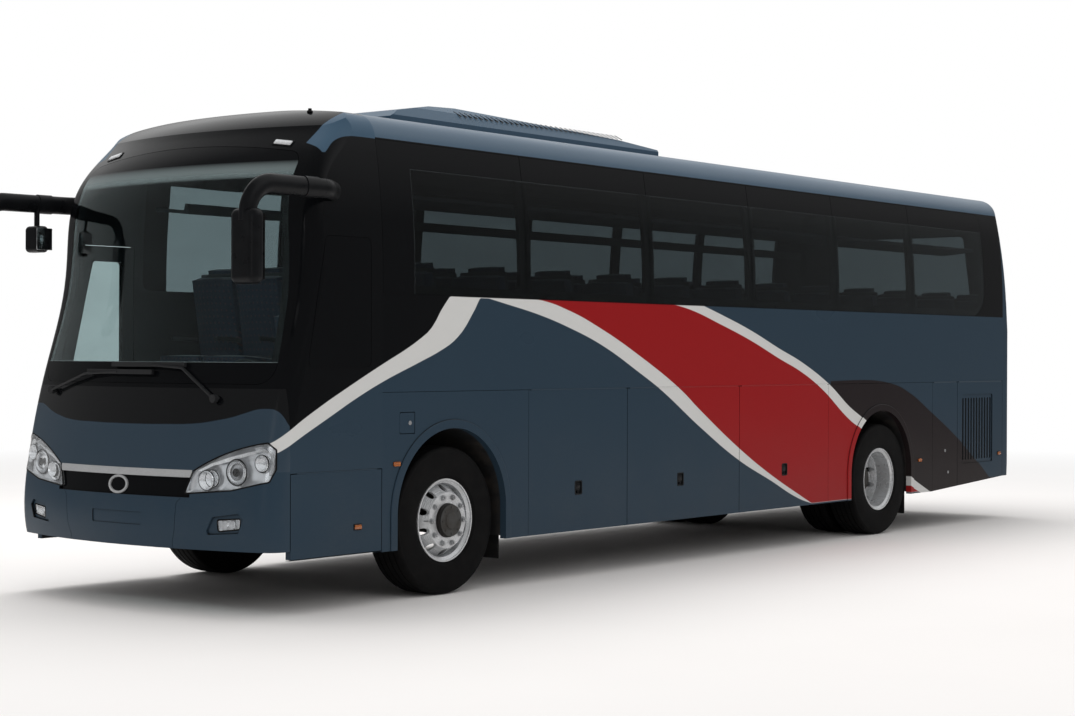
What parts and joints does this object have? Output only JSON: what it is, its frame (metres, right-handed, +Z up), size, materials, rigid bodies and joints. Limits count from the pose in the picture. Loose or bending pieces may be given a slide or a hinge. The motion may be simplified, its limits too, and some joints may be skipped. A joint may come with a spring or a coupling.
{
  "type": "touring coach",
  "caption": "Single-deck touring coach with raised saloon, luggage bays under the floor, twin rear wheels and an outward-swinging front door.",
  "frame": {"origin": "on the road under the middle of the overall length, mirrors included", "axes": "+X forwards, +Y to the driver's (left) side, +Z up"},
  "size_m": [11.183, 2.907, 3.52],
  "materials": {
    "body_paint": "gloss slate blue two-pack paint",
    "black_paint": "gloss black",
    "glass": "dark tinted",
    "bright_trim": "polished",
    "lamp_lens": "clear lens",
    "rear_lens": "red and amber lens",
    "black_plastic": "fine grain",
    "wheel_set": "tyre on a silver steel rim",
    "chassis_steel": "satin black",
    "floor_board": "floor covering over welded steel",
    "seat_fabric": "woven plush",
    "rubber": "matt",
    "cast_metal": "as cast"
  },
  "bodies": {
    "coach_body": {"left_side_wall": "body_paint", "right_side_wall": "body_paint", "side_windows": "glass", "front_shell": "black_paint", "windscreen": "glass", "front_panel": "body_paint", "front_bumper": "body_paint", "grille": "black_plastic", "roof_panel": "body_paint", "rear_wall": "body_paint", "rear_window": "glass", "rear_bumper": "body_paint", "front_lamps": "lamp_lens", "rear_lamps": "rear_lens", "mirrors": "black_plastic", "air_conditioner": "body_paint", "mud_flaps": "rubber", "floor_structure": "floor_board", "chassis_frame": "chassis_steel", "engine": "cast_metal", "fuel_tanks": "chassis_steel", "front_axle": "chassis_steel", "rear_axle": "chassis_steel", "dashboard": "black_plastic", "driver_seat": "seat_fabric", "passenger_seats": "seat_fabric", "wipers": "black_plastic", "side_markers": "rear_lens", "luggage_racks": "floor_board", "wheel_housings": "chassis_steel", "driver_platform": "floor_board"},
    "driver_flap": {"driver_flap": "body_paint"},
    "passenger_door": {"passenger_door": "body_paint", "door_glass": "glass"},
    "engine_door": {"engine_door": "body_paint"},
    "roof_hatch": {"roof_hatch": "body_paint"},
    "fuel_flap": {"fuel_flap": "body_paint"},
    "door_arm": {"door_arm": "chassis_steel"},
    "steering_wheel": {"steering_wheel": "black_plastic"},
    "left_luggage_door_1": {"left_luggage_door_1": "body_paint"},
    "left_luggage_door_2": {"left_luggage_door_2": "body_paint"},
    "left_luggage_door_3": {"left_luggage_door_3": "body_paint"},
    "left_battery_door": {"left_battery_door": "body_paint"},
    "left_radiator_door": {"left_radiator_door": "body_paint"},
    "left_knuckle": {"left_knuckle": "cast_metal"},
    "left_front_wheel": {"left_front_wheel": "wheel_set"},
    "left_rear_wheels": {"left_rear_wheels": "wheel_set"},
    "right_luggage_door_1": {"right_luggage_door_1": "body_paint"},
    "right_luggage_door_2": {"right_luggage_door_2": "body_paint"},
    "right_luggage_door_3": {"right_luggage_door_3": "body_paint"},
    "right_battery_door": {"right_battery_door": "body_paint"},
    "right_radiator_door": {"right_radiator_door": "body_paint"},
    "right_knuckle": {"right_knuckle": "cast_metal"},
    "right_front_wheel": {"right_front_wheel": "wheel_set"},
    "right_rear_wheels": {"right_rear_wheels": "wheel_set"}
  },
  "joints": [
    {"name": "left_luggage_door_1_hinge", "type": "hinge", "parent": "coach_body", "child": "left_luggage_door_1", "pos_m": [1.994, 1.263, 1.427], "axis": [1, 0, 0], "range_deg": [0, 95]},
    {"name": "left_luggage_door_2_hinge", "type": "hinge", "parent": "coach_body", "child": "left_luggage_door_2", "pos_m": [0.553, 1.263, 1.427], "axis": [1, 0, 0], "range_deg": [0, 95]},
    {"name": "left_luggage_door_3_hinge", "type": "hinge", "parent": "coach_body", "child": "left_luggage_door_3", "pos_m": [-1.0125, 1.263, 1.427], "axis": [1, 0, 0], "range_deg": [0, 95]},
    {"name": "left_battery_door_hinge", "type": "hinge", "parent": "coach_body", "child": "left_battery_door", "pos_m": [-4.0685, 1.263, 1.427], "axis": [1, 0, 0], "range_deg": [0, 95]},
    {"name": "left_radiator_door_hinge", "type": "hinge", "parent": "coach_body", "child": "left_radiator_door", "pos_m": [-4.858, 1.263, 1.427], "axis": [1, 0, 0], "range_deg": [0, 95]},
    {"name": "left_steering", "type": "hinge", "parent": "coach_body", "child": "left_knuckle", "pos_m": [3.484, 0.985, 0.522], "axis": [0, 0, 1], "range_deg": [-40, 40]},
    {"name": "left_front_wheel_spin", "type": "hinge", "parent": "left_knuckle", "child": "left_front_wheel", "pos_m": [3.484, 1.074, 0.522], "axis": [0, 1, 0], "continuous": true},
    {"name": "left_rear_wheel_spin", "type": "hinge", "parent": "coach_body", "child": "left_rear_wheels", "pos_m": [-2.786, 0.9, 0.522], "axis": [0, 1, 0], "continuous": true},
    {"name": "right_luggage_door_1_hinge", "type": "hinge", "parent": "coach_body", "child": "right_luggage_door_1", "pos_m": [1.994, -1.263, 1.427], "axis": [-1, 0, 0], "range_deg": [0, 95]},
    {"name": "right_luggage_door_2_hinge", "type": "hinge", "parent": "coach_body", "child": "right_luggage_door_2", "pos_m": [0.553, -1.263, 1.427], "axis": [-1, 0, 0], "range_deg": [0, 95]},
    {"name": "right_luggage_door_3_hinge", "type": "hinge", "parent": "coach_body", "child": "right_luggage_door_3", "pos_m": [-1.0125, -1.263, 1.427], "axis": [-1, 0, 0], "range_deg": [0, 95]},
    {"name": "right_battery_door_hinge", "type": "hinge", "parent": "coach_body", "child": "right_battery_door", "pos_m": [-4.0685, -1.263, 1.427], "axis": [-1, 0, 0], "range_deg": [0, 95]},
    {"name": "right_radiator_door_hinge", "type": "hinge", "parent": "coach_body", "child": "right_radiator_door", "pos_m": [-4.858, -1.263, 1.427], "axis": [-1, 0, 0], "range_deg": [0, 95]},
    {"name": "right_steering", "type": "hinge", "parent": "coach_body", "child": "right_knuckle", "pos_m": [3.484, -0.985, 0.522], "axis": [0, 0, 1], "range_deg": [-40, 40]},
    {"name": "right_front_wheel_spin", "type": "hinge", "parent": "right_knuckle", "child": "right_front_wheel", "pos_m": [3.484, -1.074, 0.522], "axis": [0, 1, 0], "continuous": true},
    {"name": "right_rear_wheel_spin", "type": "hinge", "parent": "coach_body", "child": "right_rear_wheels", "pos_m": [-2.786, -0.9, 0.522], "axis": [0, 1, 0], "continuous": true},
    {"name": "steering_wheel_turn", "type": "hinge", "parent": "coach_body", "child": "steering_wheel", "pos_m": [4.634, 0.6, 1.53], "axis": [-0.4695, 0, 0.8829], "range_deg": [-720, 720]},
    {"name": "driver_flap_hinge", "type": "hinge", "parent": "coach_body", "child": "driver_flap", "pos_m": [4.634, 1.263, 0.916], "axis": [1, 0, 0], "range_deg": [0, 95]},
    {"name": "engine_door_hinge", "type": "hinge", "parent": "coach_body", "child": "engine_door", "pos_m": [-5.584, 0, 1.903], "axis": [0, 1, 0], "range_deg": [0, 80]},
    {"name": "fuel_flap_hinge", "type": "hinge", "parent": "coach_body", "child": "fuel_flap", "pos_m": [4.028, 1.263, 1.217], "axis": [0, 0, -1], "range_deg": [0, 110]},
    {"name": "roof_hatch_hinge", "type": "hinge", "parent": "coach_body", "child": "roof_hatch", "pos_m": [-3.22, 0, 3.4], "axis": [0, 1, 0], "range_deg": [0, 60]},
    {"name": "door_arm_turn", "type": "hinge", "parent": "coach_body", "child": "door_arm", "pos_m": [4.924, -1.155, 0.9], "axis": [0, 0, 1], "range_deg": [0, 105]},
    {"name": "passenger_door_turn", "type": "hinge", "parent": "door_arm", "child": "passenger_door", "pos_m": [4.424, -1.155, 0.9], "axis": [0, 0, 1], "range_deg": [-105, 0]}
  ],
  "couplings": [
    {"joint": "right_steering", "follows": "left_steering", "ratio": 1},
    {"joint": "steering_wheel_turn", "follows": "left_steering", "ratio": 18},
    {"joint": "passenger_door_turn", "follows": "door_arm_turn", "ratio": -1}
  ]
}
